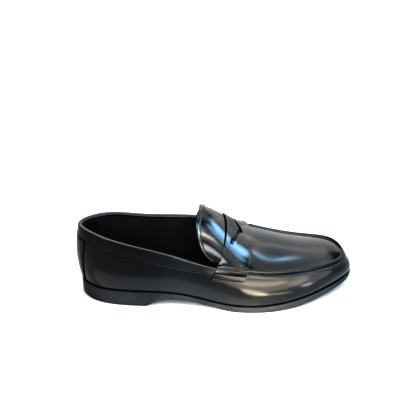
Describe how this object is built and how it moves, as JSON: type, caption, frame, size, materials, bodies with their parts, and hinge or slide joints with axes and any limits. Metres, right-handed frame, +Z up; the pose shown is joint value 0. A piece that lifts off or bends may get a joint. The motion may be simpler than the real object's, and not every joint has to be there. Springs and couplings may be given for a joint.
{
  "type": "penny loafer",
  "caption": "Black polished-leather slip-on shoe for the right foot, with a moccasin seam round the apron and a slotted saddle strap.",
  "frame": {"origin": "on the floor, under the centre of the shoe's bounding box", "axes": "+X towards the toe, +Y towards the inner (medial) side of the right foot, +Z up"},
  "size_m": [0.302, 0.1022, 0.1059],
  "materials": {
    "upper_leather": "polished black calf, soft sheen",
    "trim_leather": "polished black calf, thinner trim",
    "lining_leather": "matt black lining leather",
    "suede": "black suede nap",
    "stiffener": "non-woven stiffener board",
    "thread": "waxed black thread",
    "insole_board": "pressed cellulose board",
    "spring_steel": "tempered steel strip",
    "cork": "ground cork sheet",
    "foam": "open-cell foam",
    "sole_rubber": "matt dark moulded rubber"
  },
  "bodies": {
    "shoe": {"skirt": "upper_leather", "backstay": "trim_leather", "collar_band": "trim_leather", "topline_binding": "trim_leather", "apron": "upper_leather", "penny_strap": "upper_leather", "quarter_lining": "lining_leather", "vamp_lining": "lining_leather", "apron_lining": "lining_leather", "heel_grip": "suede", "heel_counter": "stiffener", "toe_puff": "stiffener", "moc_seam_thread": "thread", "strap_stitches": "thread", "collar_stitches": "thread", "backstay_stitches": "thread", "insole_board": "insole_board", "shank": "spring_steel", "bottom_filler": "cork", "sock_liner": "lining_leather", "heel_pad": "foam", "outsole_unit": "sole_rubber"},
    "tongue_flap": {"tongue": "upper_leather", "tongue_lining": "lining_leather", "tongue_binding": "trim_leather", "tongue_stitches": "thread"}
  },
  "joints": [
    {"name": "tongue_flex", "type": "hinge", "parent": "shoe", "child": "tongue_flap", "pos_m": [0.0089, 0, 0.091], "axis": [0, 1, 0], "range_deg": [0, 15], "stiffness_Nm_per_rad": 0.2}
  ]
}
